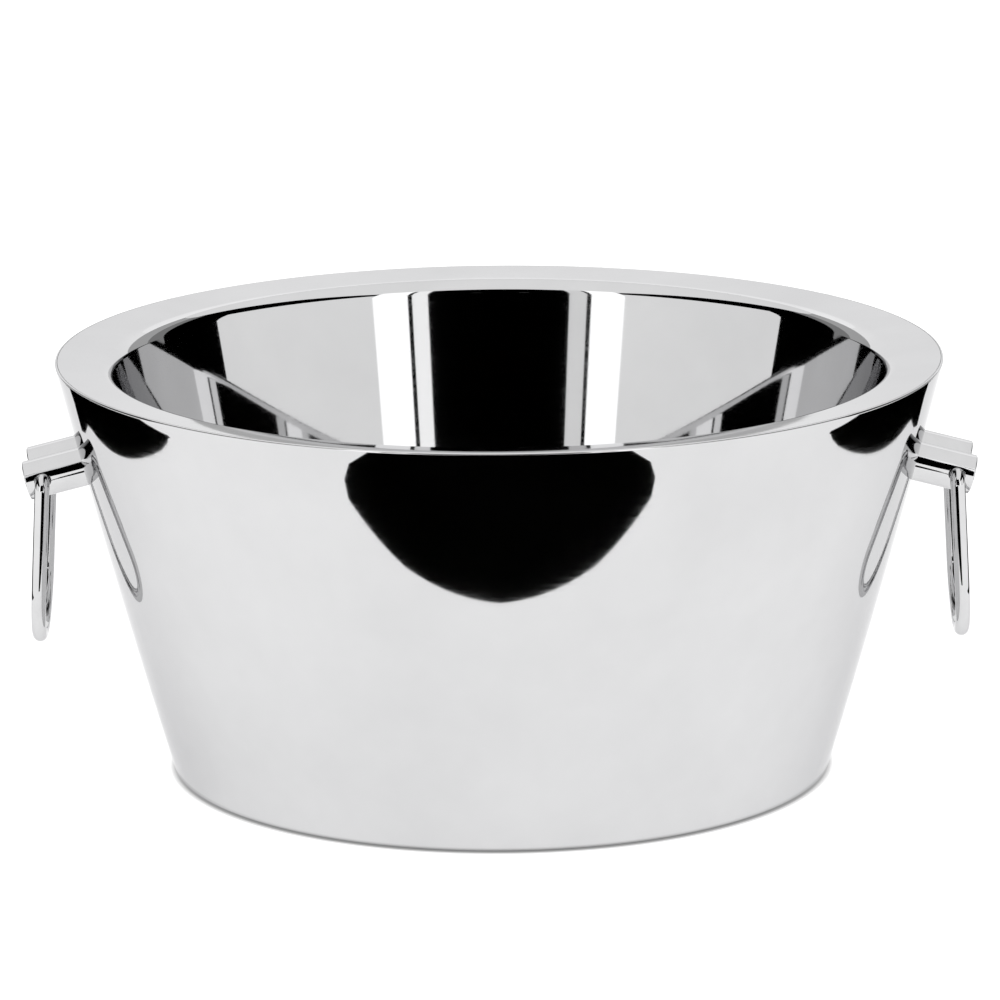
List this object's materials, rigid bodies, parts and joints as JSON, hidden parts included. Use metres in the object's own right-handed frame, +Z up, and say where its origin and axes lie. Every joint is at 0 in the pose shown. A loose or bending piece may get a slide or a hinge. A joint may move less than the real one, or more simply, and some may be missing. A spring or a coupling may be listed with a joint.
{
  "type": "double-walled champagne bowl",
  "caption": "Wide double-walled bowl for cooling champagne on ice, with a sloping rim, a tapered mirror-polished casing and a free-swinging U-shaped loop handle on each side.",
  "frame": {"origin": "middle of the foot, on the surface that the bowl stands on", "axes": "+Z up along the bowl's axis; +X through the right handle; -Y towards the front"},
  "size_m": [0.484, 0.45, 0.2135],
  "materials": {
    "polished_steel": "mirror-polished stainless steel",
    "plain_steel": "satin stainless steel, as rolled or machined",
    "plug_rubber": "matt black rubber"
  },
  "bodies": {
    "bowl": {"outer_shell": "polished_steel", "inner_bowl": "polished_steel", "base_disc": "plain_steel", "base_vent_plug": "plug_rubber", "left_backing_bar": "plain_steel", "right_backing_bar": "plain_steel", "left_front_post": "polished_steel", "left_rear_post": "polished_steel", "right_front_post": "polished_steel", "right_rear_post": "polished_steel", "left_front_post_screw": "plain_steel", "left_rear_post_screw": "plain_steel", "right_front_post_screw": "plain_steel", "right_rear_post_screw": "plain_steel", "left_front_post_washer": "plain_steel", "left_rear_post_washer": "plain_steel", "right_front_post_washer": "plain_steel", "right_rear_post_washer": "plain_steel"},
    "left_handle": {"left_handle_loop": "polished_steel"},
    "right_handle": {"right_handle_loop": "polished_steel"}
  },
  "joints": [
    {"name": "left_handle_swing", "type": "hinge", "parent": "bowl", "child": "left_handle", "pos_m": [-0.23092, 0, 0.15455], "axis": [0, 1, 0], "range_deg": [-28, 180]},
    {"name": "right_handle_swing", "type": "hinge", "parent": "bowl", "child": "right_handle", "pos_m": [0.23092, 0, 0.15455], "axis": [0, -1, 0], "range_deg": [-28, 180]}
  ]
}
